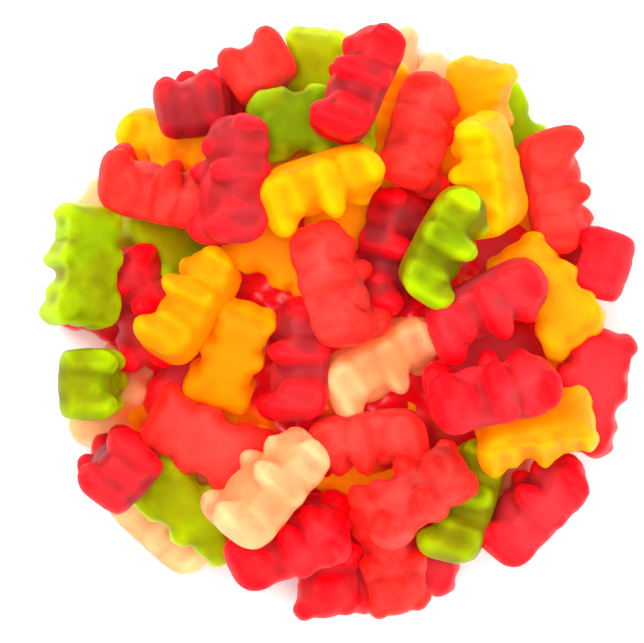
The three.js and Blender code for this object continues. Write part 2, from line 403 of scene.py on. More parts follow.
@dataclass(frozen=True)
class Lobe:
    """A rounded part of a bear: an oval column that stands on the flat back and has a domed top."""

    x: float
    y: float
    half_width: float
    half_length: float
    top: float
    dome: float
    paired: bool = False
    around: int = 28
    up: int = 7
    foot_edge: float = 2.7
    foot_roundness: float = 0.7
    foot_rings: tuple[float, ...] = (0.0, 0.3, 0.7, 1.3)

    def foot(self, height: float) -> float:
        """Rounds the lobe's edge at the flat back.

        Args:
            height: A height over the back.

        Returns:
            How wide the lobe is there, as a share of its full width.
        """
        edge = self.foot_edge
        drawn_in = edge - math.sqrt(edge**2 - (edge - min(height, edge)) ** 2)
        return 1 - self.foot_roundness * drawn_in / self.half_width

    def levels(self) -> list[tuple[float, float]]:
        """Lays out the lobe's rings, from the flat back up.

        Returns:
            The spread and the height of each ring.
        """
        bends = [k / self.up * math.pi / 2 for k in range(self.up)]
        shoulder = self.top - self.dome
        low = [(self.foot(height), height) for height in self.foot_rings]
        return low + [(math.cos(bend), shoulder + self.dome * math.sin(bend)) for bend in bends]

    def spot(self, side: int, spread: float, height: float, step: int) -> tuple[float, float, float]:
        """Returns a point of a ring.

        Args:
            side: 1 for the lobe, -1 for its mirror image.
            spread: How wide the ring is, as a share of the lobe.
            height: The height of the ring.
            step: Which point of the ring.

        Returns:
            The point.
        """
        angle = 2 * math.pi * step / self.around
        x = side * self.x + spread * self.half_width * math.cos(angle)
        y = self.y + spread * self.half_length * math.sin(angle)
        return x, y, height

    def add_to(self, mesh: bmesh.types.BMesh) -> None:
        """Adds the lobe, and its mirror image if it is one of a pair.

        Args:
            mesh: The mesh that it is added to.
        """
        for side in (-1, 1) if self.paired else (1,):
            rings = [
                [mesh.verts.new(self.spot(side, spread, height, step)) for step in range(self.around)]
                for spread, height in self.levels()
            ]
            crown = mesh.verts.new((side * self.x, self.y, self.top))
            mesh.faces.new(reversed(rings[0]))
            for step in range(self.around):
                after = (step + 1) % self.around
                for lower, upper in zip(rings, rings[1:]):
                    mesh.faces.new((lower[step], lower[after], upper[after], upper[step]))
                mesh.faces.new((rings[-1][step], rings[-1][after], crown))


@dataclass(frozen=True)
class Dimple:
    """A small round dent, or a bump where its depth is below nought, in a bear's front."""

    x: float
    y: float
    radius: float
    depth: float
    paired: bool = False

    def press(self, points: np.ndarray, fronts: np.ndarray) -> None:
        """Presses the dimple into a bear.

        Args:
            points: The bear's vertices, which are moved.
            fronts: How much each vertex belongs to the front, from 0 to 1.
        """
        for side in (-1, 1) if self.paired else (1,):
            far = (points[:, 0] - side * self.x) ** 2 + (points[:, 1] - self.y) ** 2
            points[:, 2] -= self.depth * np.exp(-far / self.radius**2) * fronts


@dataclass(frozen=True)
class Mould:
    """One mould: the sizes in which its bear differs from the others, and those that all bears share."""

    name: str
    plump: float = 1.0
    bend: float = 0.0
    twist: float = 0.0
    arms: float = 0.0
    nod: float = 0.0

    length: float = 22.0
    half_length: float = 10.5  # of the lobes, before the bear is brought to its length
    half_width: float = 5.0
    back_middle: float = 5.1  # from the flat back to the bear's own origin
    bend_level: float = 0.3
    grain: float = 0.56
    soften: int = 3

    # What is pressed into the lobes, and the heights over the flat back between which it comes or goes.
    front: Span = (3.0, 5.0)
    swelling: float = 0.4
    swelling_heights: Span = (0.0, 3.0)
    rib_depth: float = 0.28
    rib_spacing: float = 4.3
    rib_heights: Span = (1.0, 3.0)
    flank: Span = (3.0, 6.0)  # how far out the ribs come
    end_rise: float = 2.4
    end_heights: Span = (0.0, 6.0)

    # How the jelly is measured, and the measures at which each of its attributes is 0 and 1.
    probes: int = 8
    probe_spread: float = 1.1
    clearance: float = 0.05  # how far under the skin a probe starts
    times_evened: int = 6
    depths: Span = (5.6, 9.0)
    limb_depths: Span = (10.0, 11.3)
    # the curls at which the painted shade in creases begins and is full
    crease_shade_span: Span = (0.0, 1 / 11)
    # the curls at which the painted rim light on convex edges begins and is full
    rim_light: Span = (0.035, 0.085)
    upright: float = 0.5  # limbs are noted only where the skin faces the front or the back this much

    def lobes(self) -> list[Lobe]:
        """Lists the lobes: x, y, half width, half length, top and dome.

        Returns:
            The lobes: trunk, head, ears, arms, rump and legs.
        """
        p = self.plump
        return [
            Lobe(0, -2.4, 5.3 * p, 7.2, 9.1 * p, 4.4),
            Lobe(0, -2.8, 4.3 * p, 4.8, 9.9 * p, 3.6),
            Lobe(0, 2.6, 4.9 * p, 3.8, 9.1, 4.0),
            Lobe(0, 6.3 + self.nod, 5.6, 4.6, 9.6, 4.6),
            Lobe(0, 5.4 + self.nod, 3.0, 2.5, 10.9, 3.6),
            Lobe(3.7, 8.9 + self.nod, 2.2, 2.1, 7.8, 3.2, paired=True),
            Lobe(4.1, 1.5 + self.arms, 2.3, 2.5, 8.8, 3.0, paired=True),
            Lobe(3.7, 1.0 + self.arms, 2.5, 2.2, 11.0, 3.8, paired=True),
            Lobe(0, -7.6, 3.8, 3.0, 9.7, 3.0),
            Lobe(3.9, -6.6, 2.6, 3.9, 9.0, 3.4, paired=True),
            Lobe(3.7, -8.2, 2.6, 2.7, 11.3, 3.8, paired=True),
        ]

    def dimples(self) -> list[Dimple]:
        """Lists the small marks: x, y, radius and depth.

        Returns:
            The marks of the face, ears, paws and belly.
        """
        return [
            Dimple(1.55, 7.5 + self.nod, 0.55, 0.3, paired=True),
            Dimple(0, 5.9 + self.nod, 0.5, -0.25),
            Dimple(0, 4.5 + self.nod, 0.6, 0.25),
            Dimple(3.4, 9.3 + self.nod, 0.8, 0.5, paired=True),
            Dimple(3.5, 0.2 + self.arms, 0.5, 0.3, paired=True),
            Dimple(3.4, -9.0, 0.8, 0.35, paired=True),
            Dimple(0, -3.6, 0.6, 0.3),
        ]

    def cast(self) -> bpy.types.Object:
        """Casts one bear.

        Returns:
            An object with the bear's mesh, its origin in the bear's middle, and its attributes depth, limbs,
            the painted crease shade and the painted rim light.
        """
        shape = bmesh.new()
        for lobe in self.lobes():
            lobe.add_to(shape)
        mesh = bpy.data.meshes.new(self.name)
        shape.to_mesh(mesh)
        shape.free()
        cast = bpy.data.objects.new(self.name, mesh)
        bpy.context.scene.collection.objects.link(cast)
        remesh = cast.modifiers.new("skin", "REMESH")
        remesh.mode = "VOXEL"
        remesh.voxel_size = self.grain
        remesh.adaptivity = 0.0
        smooth = cast.modifiers.new("soften", "SMOOTH")
        smooth.factor = 0.5
        smooth.iterations = self.soften
        skin = as_plain_mesh(cast)
        cast.modifiers.clear()
        cast.data = skin
        self._mark(skin)
        self._bend(skin)
        self._note(skin)
        return cast

    def _mark(self, mesh: bpy.types.Mesh) -> None:
        """Presses the dimples and the ribs, swells the back and rounds it up towards the ends.

        Args:
            mesh: The bear, in millimetres.
        """
        points = read_points(mesh)
        fronts = ramp(points[:, 2], self.front)
        for dimple in self.dimples():
            dimple.press(points, fronts)
        out, along = points[:, 0] / self.half_width, points[:, 1] / self.half_length
        inward = np.clip(1 - out**2 - along**4, 0, 1)
        points[:, 2] -= self.swelling * inward * (1 - ramp(points[:, 2], self.swelling_heights))
        beside = ramp(np.abs(points[:, 0]), self.flank) * ramp(points[:, 2], self.rib_heights)
        wave = np.cos(2 * math.pi * points[:, 1] / self.rib_spacing)
        points[:, 0] += np.sign(points[:, 0]) * self.rib_depth * beside * wave
        ends = np.clip(np.abs(along), 0, 1)
        points[:, 2] += self.end_rise * ends**7 * (1 - ramp(points[:, 2], self.end_heights))
        write_points(mesh, points)

    def _bend(self, mesh: bpy.types.Mesh) -> None:
        """Brings the bear to its length and to its origin, bends and twists it, and turns it to metres.

        Args:
            mesh: The bear, in millimetres.
        """
        points = read_points(mesh)
        points[:, 1] *= self.length / np.ptp(points[:, 1])
        points[:, 2] -= self.back_middle
        share = points[:, 1] / (self.length / 2)
        points[:, 0] += self.bend * (share**2 - self.bend_level)
        angle = self.twist * share
        x, z = points[:, 0].copy(), points[:, 2].copy()
        points[:, 0] = x * np.cos(angle) - z * np.sin(angle)
        points[:, 2] = x * np.sin(angle) + z * np.cos(angle)
        write_points(mesh, points * MM)

    def _probe(self, mesh: bpy.types.Mesh) -> tuple[np.ndarray, np.ndarray]:
        """Measures the jelly under every vertex.

        Args:
            mesh: The bear.

        Returns:
            How far it is to the other side, on average of a cone of ways, and straight in.
        """
        tree = BVHTree.FromPolygons([v.co for v in mesh.vertices], [p.vertices for p in mesh.polygons])
        depth, through = np.zeros(len(mesh.vertices)), np.zeros(len(mesh.vertices))
        for vertex in mesh.vertices:
            inward = -vertex.normal
            start = vertex.co + inward * self.clearance * MM
            side = inward.orthogonal()
            around = inward.cross(side)
            total = 0.0
            for turn in range(self.probes):
                angle = 2 * math.pi * turn / self.probes
                ray = inward + self.probe_spread * (side * math.cos(angle) + around * math.sin(angle))
                total += (tree.ray_cast(start, ray.normalized())[3] or 0.0) / MM
            depth[vertex.index] = total / self.probes
            through[vertex.index] = (tree.ray_cast(start, inward)[3] or 0.0) / MM
        return depth, through

    def _note(self, mesh: bpy.types.Mesh) -> None:
        """Keeps the jelly's attributes from 0 to 1: depth, limbs, painted crease shade and painted rim
        light.

        Args:
            mesh: The bear, in its final form.
        """
        depth, through = self._probe(mesh)
        links, count = links_of(mesh)
        points = read_points(mesh) / MM
        normals = np.array([v.normal[:] for v in mesh.vertices])
        pull = np.zeros_like(points)
        for a, b in (links.T, links.T[::-1]):
            np.add.at(pull, a, points[b] - points[a])
        curl = (pull * normals).sum(1) / count / self.grain
        depth, through, curl = (
            spread_out(values, links, count, self.times_evened) for values in (depth, through, curl)
        )
        facing = np.abs(normals[:, 2]) > self.upright
        store(mesh, "depth", ramp(depth, self.depths))
        store(mesh, "limbs", ramp(through, self.limb_depths) * facing)
        # painted shade in the creases
        store(mesh, "deep_and_crease_shade", ramp(curl, self.crease_shade_span))
        # painted rim light on the convex edges
        store(mesh, "rim_light", ramp(-curl, self.rim_light))


def ramp(values: np.ndarray, span: Span) -> np.ndarray:
    """Returns how far along the span each value is, from 0 to 1."""
    return np.clip((values - span[0]) / (span[1] - span[0]), 0, 1)


def links_of(mesh: bpy.types.Mesh) -> tuple[np.ndarray, np.ndarray]:
    """Returns the mesh's edges, as pairs of vertices, and how many edges each vertex has."""
    links = np.array([edge.vertices[:] for edge in mesh.edges])
    return links, np.bincount(links.ravel(), minlength=len(mesh.vertices))


def spread_out(values: np.ndarray, links: np.ndarray, count: np.ndarray, times: int) -> np.ndarray:
    """Evens values out over a mesh.

    Args:
        values: One value for each vertex.
        links: The mesh's edges, as pairs of vertices.
        count: How many edges each vertex has.
        times: How many times each value is mixed with its neighbours'.

    Returns:
        The evened values.
    """
    first, second = links.T
    for _ in range(times):
        total = np.bincount(first, values[second], len(values))
        total += np.bincount(second, values[first], len(values))
        values = 0.5 * values + 0.5 * total / count
    return values


def as_plain_mesh(piece: bpy.types.Object) -> bpy.types.Mesh:
    """Works a piece's modifiers in.

    Args:
        piece: The piece.

    Returns:
        Its finished mesh.
    """
    graph = bpy.context.evaluated_depsgraph_get()
    graph.update()
    return bpy.data.meshes.new_from_object(piece.evaluated_get(graph))


def read_points(mesh: bpy.types.Mesh) -> np.ndarray:
    """Reads a mesh's vertices.

    Args:
        mesh: The mesh.

    Returns:
        The vertices, one a row.
    """
    flat = np.zeros(len(mesh.vertices) * 3)
    mesh.vertices.foreach_get("co", flat)
    return flat.reshape(-1, 3)


def write_points(mesh: bpy.types.Mesh, points: np.ndarray) -> None:
    """Moves the mesh's vertices to the rows of points."""
    mesh.vertices.foreach_set("co", points.ravel())
    mesh.update()


def store(mesh: bpy.types.Mesh, name: str, values: np.ndarray, whole: bool = False) -> None:
    """Keeps one number for each vertex under a name.

    Args:
        mesh: The mesh.
        name: The attribute's name.
        values: The numbers.
        whole: Whether they are whole numbers.
    """
    layer = mesh.attributes.new(name, "INT" if whole else "FLOAT", "POINT")
    layer.data.foreach_set("value", values.astype(np.int32 if whole else np.float32))


def read_numbers(mesh: bpy.types.Mesh) -> np.ndarray:
    """Reads which bear each vertex belongs to.

    Args:
        mesh: A piece's mesh.

    Returns:
        The bears' numbers.
    """
    numbers = np.zeros(len(mesh.vertices), np.int32)
    mesh.attributes["number"].data.foreach_get("value", numbers)
    return numbers


def store_colours(mesh: bpy.types.Mesh, name: str, colours: np.ndarray) -> None:
    """Keeps one colour for each vertex under a name.

    Args:
        mesh: The mesh.
        name: The attribute's name.
        colours: The red, green and blue of each vertex, one a row.
    """
    layer = mesh.attributes.new(name, "FLOAT_COLOR", "POINT")
    rows = np.column_stack([colours, np.ones(len(colours))])
    layer.data.foreach_set("color", rows.astype(np.float32).ravel())


MOULDS = [
    Mould("mould_straight"),
    Mould("mould_plump", plump=1.07, bend=0.5, arms=0.2),
    Mould("mould_bent", plump=0.98, bend=-1.1, twist=0.06),
    Mould("mould_twisted", plump=1.02, bend=0.4, twist=-0.12, nod=-0.2),
    Mould("mould_leaning", plump=0.96, bend=1.2, twist=0.05, arms=-0.3),
]


# --------------------------------------------------------------------
# The heap
# --------------------------------------------------------------------


@dataclass(frozen=True)
class Laid:
    """How a bear is put down: where, the way its head points, its roll and its pitch, in degrees.

    Its shade is how deep its colour is, from 0 to 1.
    """

    flavour: Flavour
    x: float
    y: float
    heading: float
    roll: float
    pitch: float = 0.0
    shade: float = 0.3

    def turn(self) -> np.ndarray:
        """Joins the heading, the pitch and the roll.

        Returns:
            The bear's turn as a quaternion.
        """
        aim = about(2, self.heading - 90)
        rise = about(0, self.pitch)
        lean = about(1, self.roll)
        return times(times(aim, rise), lean)


# Half buried bears, from the bottom of the heap up.
LOW_BEARS = [
    Laid(Flavour.PEACH, -32.5, -34.5, -42, -90),
    Laid(Flavour.RED, -38.5, 0, -25, 180),
    Laid(Flavour.PEACH, -38.5, 17, -44, 180),
    Laid(Flavour.GREEN, -30.5, 12.5, -45, 150),
    Laid(Flavour.RED, -33, -8, 80, 180),
    Laid(Flavour.PEACH, -34.5, -13.5, 75, 170),
    Laid(Flavour.ORANGE, -11.5, -17.5, 5, 180),
    Laid(Flavour.ORANGE, 1, -30.5, 160, 180),
    Laid(Flavour.ORANGE, 8.5, -14.5, 75, 180),
    Laid(Flavour.PEACH, 30.5, -26.5, 70, 150),
    Laid(Flavour.YELLOW, 41, -8.5, 110, 150),
    Laid(Flavour.CRIMSON, 13.5, 5, 100, 180),
    Laid(Flavour.CRIMSON, 18, 22.5, 30, 150),
    Laid(Flavour.GREEN, 27.5, 33, -60, 170),
    Laid(Flavour.YELLOW, 8, 33, 80, 120),
    Laid(Flavour.PEACH, 12.5, 42.5, 60, 180),
    Laid(Flavour.PEACH, -0.5, 49, 10, 180),
    Laid(Flavour.ORANGE, 1, 18.5, -50, 170),
    Laid(Flavour.ORANGE, -15, 4, 60, 160),
    Laid(Flavour.CRIMSON, -16.5, 10.5, 10, 180),
    Laid(Flavour.ORANGE, -11, 10, -35, 180),
    Laid(Flavour.RED, 25, 8, 60, 180),
    Laid(Flavour.RED, 4, -40, 95, 180),
    Laid(Flavour.RED, -17, -33, 50, 180),
    Laid(Flavour.PEACH, -27.5, -25, -40, 180),
    Laid(Flavour.RED, 25, -3.5, 10, 180),
    Laid(Flavour.RED, 15, -37.5, 80, 170),
]

# Bears in plain sight, from the lowest to the highest.
TOP_BEARS = [
    Laid(Flavour.RED, 44, -11.5, 74, 165),
    Laid(Flavour.GREEN, -6.5, 43, 88, 180, shade=0.1),
    Laid(Flavour.CRIMSON, 8.5, 12.5, 78, 60),
    Laid(Flavour.CORAL, -32, 21.5, -14, -90, shade=0.1),
    Laid(Flavour.ORANGE, -31.5, 34.5, 160, -105, shade=0.15),
    Laid(Flavour.CRIMSON, -23, 41.5, 2, -90, -42, shade=1),
    Laid(Flavour.CORAL, -11.5, 43.5, 120, 0, -92),
    Laid(Flavour.RED, -35, 3.5, 105, -30, shade=0.2),
    Laid(Flavour.GREEN, -5.5, 34.5, -8, 180),
    Laid(Flavour.GREEN, -43.5, -11, 0, 0, -84, shade=0.6),
    Laid(Flavour.CRIMSON, -39, -25.5, 135, 0, -80, shade=0.35),
    Laid(Flavour.ORANGE, 37.5, 5, 130, 180, shade=0.15),
    Laid(Flavour.RED, 46.5, 10.5, 160, 0, -62),
    Laid(Flavour.YELLOW, 24, 35.5, 80, 160, shade=0.5),
    Laid(Flavour.YELLOW, 25.5, 25.5, 98, -120, shade=0.05),
    Laid(Flavour.CORAL, 39.5, 24, -88, -90, shade=0.1),
    Laid(Flavour.GREEN, -26, -33, -47, 180, shade=0.05),
    Laid(Flavour.ORANGE, -19, -7.5, 73, 180, 25, shade=0.6),
    Laid(Flavour.CORAL, -23.5, -20, 148, 180, shade=0.1),
    Laid(Flavour.CORAL, 10, -42.5, -80, 0, shade=0.2),
    Laid(Flavour.RED, -9, -38.5, 15, -60, shade=0),
    Laid(Flavour.RED, -2, -42, -85, 0, shade=0.1),
    Laid(Flavour.CORAL, 12.5, -29.5, 35, -30),
    Laid(Flavour.GREEN, 23.5, -32.5, 78, -90, shade=0.5),
    Laid(Flavour.RED, 33, -33.5, 48, -75),
    Laid(Flavour.ORANGE, 34, -18.5, 8, 150, shade=0.2),
    Laid(Flavour.RED, 26.5, -12.5, 12, -80),
    Laid(Flavour.CORAL, 5, -22, 180, -90, shade=0.4),
    Laid(Flavour.CRIMSON, -8, -6.5, 88, -80, shade=0.4),
    Laid(Flavour.RED, -18.5, 24.5, 86, -60, shade=1),
    Laid(Flavour.CRIMSON, 3, 41, 66, -85, shade=0),
    Laid(Flavour.RED, 25, 2.5, 24, 95, shade=0.4),
    Laid(Flavour.GREEN, -45.5, 10, 92, -145, shade=0.05),
    Laid(Flavour.YELLOW, -26, 2.5, 60, -105, shade=0.9),
    Laid(Flavour.PEACH, -12.5, -28.5, 49, -70, shade=0.2),
    Laid(Flavour.CORAL, 14.5, 33, 74, 70),
    Laid(Flavour.YELLOW, -4, 24, 24, 100, shade=0.35),
    Laid(Flavour.CORAL, -0.5, 6.5, 108, 70, shade=0.35),
    Laid(Flavour.GREEN, 18.5, 12.5, 60, 90, shade=0.35),
    Laid(Flavour.PEACH, 7, -7, 32, 105),
]


def about(axis: int, degrees: float) -> np.ndarray:
    """Makes a turn about an axis.

    Args:
        axis: 0 for X, 1 for Y and 2 for Z.
        degrees: How far it turns.

    Returns:
        The turn as a quaternion, x, y, z, w.
    """
    half = math.radians(degrees) / 2
    turn = np.zeros(4)
    turn[axis] = math.sin(half)
    turn[3] = math.cos(half)
    return turn


def times(a: np.ndarray, b: np.ndarray) -> np.ndarray:
    """Joins two turns.

    Args:
        a: The turn that comes last.
        b: The turn that comes first.

    Returns:
        Both turns in one.
    """
    ax, ay, az, aw = a
    bx, by, bz, bw = b
    return np.array(
        [
            ax * bw + aw * bx + ay * bz - az * by,
            ay * bw + aw * by + az * bx - ax * bz,
            az * bw + aw * bz + ax * by - ay * bx,
            aw * bw - ax * bx - ay * by - az * bz,
        ]
    )


def rotated(points: np.ndarray, turn: np.ndarray) -> np.ndarray:
    """Turns points.

    Args:
        points: The points, one a row.
        turn: The turn, a quaternion.

    Returns:
        The turned points.
    """
    way, w = turn[:3], turn[3]
    across = 2 * cross(way, points)
    return points + w * across + cross(way, across)


def cross(a: np.ndarray, b: np.ndarray) -> np.ndarray:
    """Multiplies vectors crosswise.

    Args:
        a: A vector, or one a row.
        b: The same.

    Returns:
        Their cross product.
    """
    ax, ay, az = a[..., 0], a[..., 1], a[..., 2]
    bx, by, bz = b[..., 0], b[..., 1], b[..., 2]
    return np.stack([ay * bz - az * by, az * bx - ax * bz, ax * by - ay * bx], axis=-1)


@dataclass
class Sweet:
    """A bear in the heap, on its way to rest."""

    laid: Laid
    home: np.ndarray  # where it was put down
    hold: float  # how strongly it is drawn back there
    size: float
    place: np.ndarray  # where it is now
    wanted: np.ndarray  # how it was turned when it was put down
    turn: np.ndarray  # how it is turned now
    form: np.ndarray  # the middles of its balls in its own frame
    radius: np.ndarray  # of its balls
    centre: np.ndarray = field(default_factory=lambda: np.zeros((0, 3)))

    def carry(self) -> None:
        """Brings the bear's balls to where it is now."""
        self.centre = rotated(self.form, self.turn) + self.place


@dataclass(frozen=True)
class Settling:
    """How the bears come to rest: they sink, press each other apart and tilt, pass after pass."""

    passes: int = 300
    sink: float = 0.1  # in one pass
    low_hold: float = 0.05  # how strongly the half buried bears are drawn back to their places
    top_hold: float = 0.4
    turn_hold: float = 0.8
    gyration: float = 5.0
    near: float = 24.0  # bears farther apart than this can't touch
    nestle: float = 0.7  # how deep neighbours may press into each other
    heap_radius: float = 53.5
    mound_radius: float = 38.0
    mound_height: float = 3.0
    dome_radius: float = 50.0  # the bears are put down on a dome of this radius and rise
    dome_rise: float = 9.0
    first_height: float = 4.5
    layers_rise: float = 18.0  # from the first bear to the last
    size_spread: float = 0.04
    size_step: float = 2.4  # from bear to bear, in radians
    back_middle: float = Mould.back_middle

    # Balls that stand for a bear's form: x, y, z from its flat back, and radius. First those of the trunk,
    # then one of each pair.
    trunk_balls: tuple[tuple[float, ...], ...] = (
        (0, 6.4, 5.1, 4.7),
        (0, 1, 4.8, 4.8),
        (0, -3.4, 5, 4.9),
        (0, -7, 4.3, 4.2),
        (0, 5.5, 8.7, 2),
    )
    paired_balls: tuple[tuple[float, ...], ...] = (
        (3.7, 9, 3.7, 1.9),
        (4.2, 1.2, 8.6, 2.1),
        (4, 0.8, 3.3, 2.6),
        (4, -8.3, 8.6, 2.3),
        (3.8, -8.2, 3.3, 2.7),
        (2.8, 6, 3.5, 2.9),
        (3.2, -4, 3.5, 3),
    )

    def balls(self) -> np.ndarray:
        """Gathers the balls that stand for a bear.

        Returns:
            The balls in the bear's own frame, one a row: x, y, z and radius.
        """
        rows = [*self.trunk_balls]
        for x, y, z, r in self.paired_balls:
            rows += [(x, y, z, r), (-x, y, z, r)]
        return np.array(rows) - np.array([0, 0, self.back_middle, 0])

    def mound(self) -> tuple[np.ndarray, float]:
        """Returns the centre and the radius of the ball whose cap is the mound under the heap."""
        radius = (self.mound_radius**2 + self.mound_height**2) / (2 * self.mound_height)
        return np.array([0, 0, self.mound_height - radius]), radius

    def sweet(self, laid: Laid, height: float, hold: float, size: float) -> Sweet:
        """Returns a bear as it is put down.

        Args:
            laid: Where and how it is laid.
            height: The height of its middle.
            hold: How strongly it is drawn back to its place.
            size: Its size, 1 for the bear of the mould.

        Returns:
            The bear.
        """
        balls = self.balls()
        home = np.array([laid.x, laid.y, height])
        turn = laid.turn()
        form, radius = balls[:, :3] * size, balls[:, 3] * size
        return Sweet(laid, home, hold, size, home.copy(), turn, turn.copy(), form, radius)

    def put_down(self) -> list[Sweet]:
        """Puts every bear down, higher the later it comes and the nearer to the middle it lies.

        Returns:
            The bears.
        """
        rows = LOW_BEARS + TOP_BEARS
        sweets = []
        for index, laid in enumerate(rows):
            outward = (laid.x**2 + laid.y**2) / self.dome_radius**2
            dome = self.dome_rise * max(0.0, 1 - outward)
            height = self.first_height + dome + self.layers_rise * index / (len(rows) - 1)
            hold = self.low_hold if index < len(LOW_BEARS) else self.top_hold
            size = 1 + self.size_spread * math.sin(self.size_step * index)
            sweets.append(self.sweet(laid, height, hold, size))
        return sweets

    def draw(self, sweet: Sweet, fade: float) -> None:
        """Lets a bear sink, and draws it part of the way back to where and how it was put down.

        Args:
            sweet: The bear.
            fade: What is left of the draw, from 1 down to 0.
        """
        side = -1 if float(np.dot(sweet.turn, sweet.wanted)) < 0 else 1
        turn = sweet.turn + (side * sweet.wanted - sweet.turn) * (self.turn_hold * fade)
        sweet.turn = turn / math.sqrt(float(np.dot(turn, turn)))
        sweet.place[:2] += (sweet.home[:2] - sweet.place[:2]) * sweet.hold * fade
        sweet.place[2] -= self.sink * fade
        sweet.carry()

    def between(self, one: Sweet, other: Sweet) -> Optional[tuple[np.ndarray, ...]]:
        """Finds where two bears press on each other.

        Args:
            one: The first bear.
            other: The second bear.

        Returns:
            The points, the ways from the second to the first and the depths, or None if they don't touch.
        """
        gap = one.centre[:, None, :] - other.centre[None, :, :]
        apart = np.sqrt((gap * gap).sum(-1))
        depth = one.radius[:, None] + other.radius[None, :] - self.nestle - apart
        first, second = np.nonzero(depth > 0)
        if not len(first):
            return None
        way = gap[first, second] / apart[first, second, None]
        at = other.centre[second] + way * (other.radius[second] - self.nestle / 2)[:, None]
        return at, way, depth[first, second]

    def around(self, sweet: Sweet) -> Optional[tuple[np.ndarray, ...]]:
        """Finds where a bear presses on the floor, on the round edge of the heap, or on the mound.

        Args:
            sweet: The bear.

        Returns:
            The points, the ways towards the bear and the depths, or None if it touches nothing.
        """
        middle, ball = self.mound()
        centre, radius = sweet.centre, sweet.radius
        out = np.hypot(centre[:, 0], centre[:, 1])
        up = np.tile([0.0, 0.0, 1.0], (len(centre), 1))
        inward = np.column_stack([-centre[:, 0] / out, -centre[:, 1] / out, np.zeros(len(centre))])
        off = centre - middle
        apart = np.sqrt((off * off).sum(1))
        ways = np.stack([up, inward, off / apart[:, None]], axis=1).reshape(-1, 3)
        over_edge = out + radius - self.heap_radius
        in_mound = ball + radius - self.nestle - apart
        depths = np.stack([radius - centre[:, 2], over_edge, in_mound], axis=1).ravel()
        held = depths > 0
        if not held.any():
            return None
        at = (np.repeat(centre, 3, axis=0) - ways * np.repeat(radius, 3)[:, None])[held]
        return at, ways[held], depths[held]

    def push_apart(self, contacts: tuple[np.ndarray, ...], sweets: list[Sweet]) -> None:
        """Pushes bears out of their contacts, each contact by its share of the depth.

        Args:
            contacts: The points, ways and depths.
            sweets: The bear that is pushed along the ways and, if there is one, the bear that is pushed
                the other way.
        """
        at, way, depth = contacts
        spins = [cross(at - sweet.place, way) / self.gyration for sweet in sweets]
        giving = sum(1 + (spin * spin).sum(1) for spin in spins)
        push = depth / depth.sum() * depth / giving
        for side, sweet, spin in zip((1, -1), sweets, spins):
            sweet.place = sweet.place + side * (way * push[:, None]).sum(0)
            turning = (spin * (side * push / self.gyration / 2)[:, None]).sum(0)
            turn = times(np.array([*turning, 1.0]), sweet.turn)
            sweet.turn = turn / math.sqrt(float(np.dot(turn, turn)))
            sweet.carry()

    def settle(self) -> list[Sweet]:
        """Lets the bears come to rest.

        Returns:
            The bears at rest.
        """
        sweets = self.put_down()
        for number in range(self.passes):
            fade = min(1.0, 2 * (1 - number / self.passes))
            for sweet in sweets:
                self.draw(sweet, fade)
            for index, sweet in enumerate(sweets):
                for other in sweets[index + 1 :]:
                    if math.dist(sweet.place, other.place) > self.near:
                        continue
                    contacts = self.between(sweet, other)
                    if contacts:
                        self.push_apart(contacts, [sweet, other])
                contacts = self.around(sweet)
                if contacts:
                    self.push_apart(contacts, [sweet])
        return sweets


@dataclass(frozen=True)
class FootRing:
    """The bears deep at the foot of the heap: a ring on the floor that shows only between the others."""

    bears: int = 10
    radius: float = 37.0
    wander: float = 1.5  # in and out
    wander_step: float = 2.4  # from bear to bear, in radians
    swing: float = 16.0  # to and fro, in degrees
    swing_step: float = 1.7
    shade: float = 0.6
    flavours: tuple[Flavour, ...] = (
        Flavour.RED,
        Flavour.ORANGE,
        Flavour.CRIMSON,
        Flavour.CORAL,
        Flavour.RED,
    )

    def lay(self, settling: Settling) -> list[Sweet]:
        """Lays the ring, every other bear on its belly.

        Args:
            settling: The rule that holds a bear's form.

        Returns:
            The bears, each just touching the floor.
        """
        ring = []
        for index in range(self.bears):
            angle = 2 * math.pi * index / self.bears
            out = self.radius + self.wander * math.sin(self.wander_step * index)
            laid = Laid(
                self.flavours[index % len(self.flavours)],
                x=out * math.cos(angle),
                y=out * math.sin(angle),
                heading=math.degrees(angle) + 90 + self.swing * math.sin(self.swing_step * index),
                roll=180.0 * (index % 2),
                shade=self.shade,
            )
            sweet = settling.sweet(laid, height=0.0, hold=1.0, size=1.0)
            sweet.place[2] = np.max(sweet.radius - rotated(sweet.form, sweet.turn)[:, 2])
            ring.append(sweet)
        return ring


